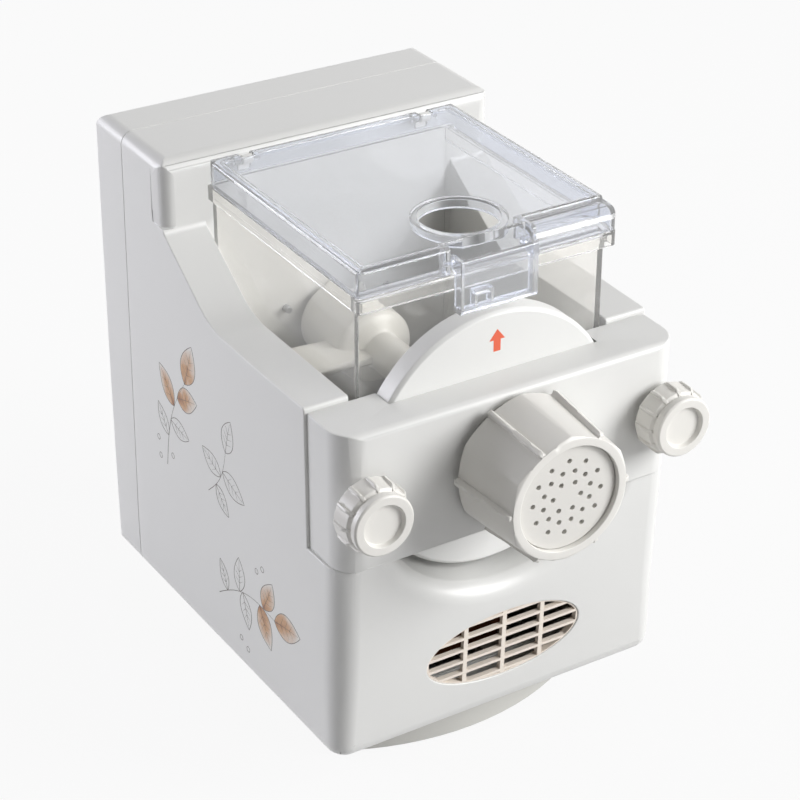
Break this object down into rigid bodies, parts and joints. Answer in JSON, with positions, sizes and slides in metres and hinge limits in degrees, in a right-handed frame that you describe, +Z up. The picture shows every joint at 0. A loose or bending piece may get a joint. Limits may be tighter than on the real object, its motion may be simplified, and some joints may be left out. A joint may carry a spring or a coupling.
{
  "type": "electric pasta maker",
  "caption": "Countertop pasta extruder: clear lidded mixing hopper, geared paddle and auger, screw-on die with cap nut, clamp bar with thumb nuts, white housing.",
  "frame": {"origin": "centre of the bounding box on the table under the feet", "axes": "+Z up, -Y toward the user (cap nut and die), +X to the right as seen from the front"},
  "size_m": [0.2384, 0.34, 0.3403],
  "materials": {
    "housing_white": "moulded ABS, glossy ivory white",
    "pan_ivory": "moulded ABS, slightly warmer ivory",
    "grille_cream": "moulded cream plastic",
    "knob_ivory": "moulded ivory plastic",
    "paddle_white": "food grade white plastic",
    "clear_plastic": "clear polycarbonate",
    "steel": "steel",
    "brass": "turned brass",
    "winding_copper": "enamelled copper wire",
    "gear_nylon": "moulded nylon",
    "rubber": "soft rubber",
    "dark_plastic": "dark moulded plastic",
    "capacitor_can": "drawn can",
    "rocker_red": "moulded red plastic"
  },
  "bodies": {
    "base": {"main_housing": "housing_white", "rear_cover": "housing_white", "rear_cover_screws": "steel", "bottom_pan": "pan_ivory", "bottom_pan_screws": "steel", "rubber_feet": "rubber", "foot_screws": "steel", "front_grille": "grille_cream", "hopper": "clear_plastic", "hopper_locating_pins": "steel", "end_disc": "housing_white", "clamp_bar": "housing_white", "bar_studs": "steel", "output_bearings": "steel", "shaft_seal": "rubber", "intermediate_bushes": "brass", "gear_plate_front": "steel", "gear_plate_rear": "steel", "gear_pillars": "steel", "motor_stator": "steel", "motor_windings": "winding_copper", "motor_front_bracket": "steel", "motor_rear_bracket": "steel", "motor_through_bolts": "steel", "motor_bearings": "steel", "capacitor": "capacitor_can", "terminal_block": "paddle_white", "power_inlet": "dark_plastic", "switch_bezel": "pan_ivory"},
    "rotor": {"rotor_core": "steel", "motor_shaft": "steel", "motor_pinion": "steel", "cooling_fan": "dark_plastic"},
    "first_stage": {"first_gear": "gear_nylon", "first_pinion": "steel", "first_shaft": "steel"},
    "second_stage": {"second_gear": "gear_nylon", "second_pinion": "steel", "second_shaft": "steel"},
    "mixer": {"output_gear": "gear_nylon", "output_shaft": "steel", "mixing_paddle": "paddle_white", "auger": "paddle_white"},
    "lid": {"lid": "clear_plastic", "lid_hinge_pins": "steel", "latch_pins": "clear_plastic"},
    "latch": {"lid_latch": "clear_plastic"},
    "left_washer": {"left_washer": "steel"},
    "left_nut": {"left_thumb_nut": "knob_ivory", "left_insert": "brass"},
    "right_washer": {"right_washer": "steel"},
    "right_nut": {"right_thumb_nut": "knob_ivory", "right_insert": "brass"},
    "die": {"die_plate": "knob_ivory", "die_gasket": "rubber"},
    "cap": {"cap_nut": "knob_ivory"},
    "rocker": {"mode_rocker": "rocker_red"}
  },
  "joints": [
    {"name": "rotor_spin", "type": "hinge", "parent": "base", "child": "rotor", "pos_m": [0, 0, 0.08735], "axis": [0, -1, 0], "continuous": true},
    {"name": "first_stage_spin", "type": "hinge", "parent": "base", "child": "first_stage", "pos_m": [-0.01849, 0, 0.127], "axis": [0, -1, 0], "continuous": true},
    {"name": "second_stage_spin", "type": "hinge", "parent": "base", "child": "second_stage", "pos_m": [0.00904, 0, 0.16632], "axis": [0, -1, 0], "continuous": true},
    {"name": "mixer_spin", "type": "hinge", "parent": "base", "child": "mixer", "pos_m": [0, 0, 0.2155], "axis": [0, -1, 0], "continuous": true},
    {"name": "lid_hinge", "type": "hinge", "parent": "base", "child": "lid", "pos_m": [0, 0.077, 0.3333], "axis": [-1, 0, 0], "range_deg": [0, 85]},
    {"name": "latch_hinge", "type": "hinge", "parent": "lid", "child": "latch", "pos_m": [0, -0.088, 0.328], "axis": [-1, 0, 0], "range_deg": [0, 60]},
    {"name": "left_nut_travel", "type": "slide", "parent": "base", "child": "left_washer", "axis": [0, -1, 0], "range_m": [0, 0.004]},
    {"name": "left_nut_turn", "type": "hinge", "parent": "left_washer", "child": "left_nut", "pos_m": [-0.098, 0, 0.2155], "axis": [0, -1, 0], "range_deg": [0, 720]},
    {"name": "right_nut_travel", "type": "slide", "parent": "base", "child": "right_washer", "axis": [0, -1, 0], "range_m": [0, 0.004]},
    {"name": "right_nut_turn", "type": "hinge", "parent": "right_washer", "child": "right_nut", "pos_m": [0.098, 0, 0.2155], "axis": [0, -1, 0], "range_deg": [0, 720]},
    {"name": "cap_travel", "type": "slide", "parent": "base", "child": "die", "axis": [0, -1, 0], "range_m": [0, 0.006]},
    {"name": "cap_turn", "type": "hinge", "parent": "die", "child": "cap", "pos_m": [0, 0, 0.2155], "axis": [0, -1, 0], "range_deg": [0, 720]},
    {"name": "mode_switch", "type": "hinge", "parent": "base", "child": "rocker", "pos_m": [0.10781, -0.0475, 0.086], "axis": [0, 0, 1], "range_deg": [-7, 7]}
  ],
  "couplings": [
    {"joint": "first_stage_spin", "follows": "rotor_spin", "ratio": -0.27273},
    {"joint": "second_stage_spin", "follows": "rotor_spin", "ratio": 0.090909},
    {"joint": "mixer_spin", "follows": "rotor_spin", "ratio": -0.035354},
    {"joint": "left_nut_travel", "follows": "left_nut_turn", "m_per_rad": 0.0003183},
    {"joint": "right_nut_travel", "follows": "right_nut_turn", "m_per_rad": 0.0003183},
    {"joint": "cap_travel", "follows": "cap_turn", "m_per_rad": 0.0004774}
  ]
}
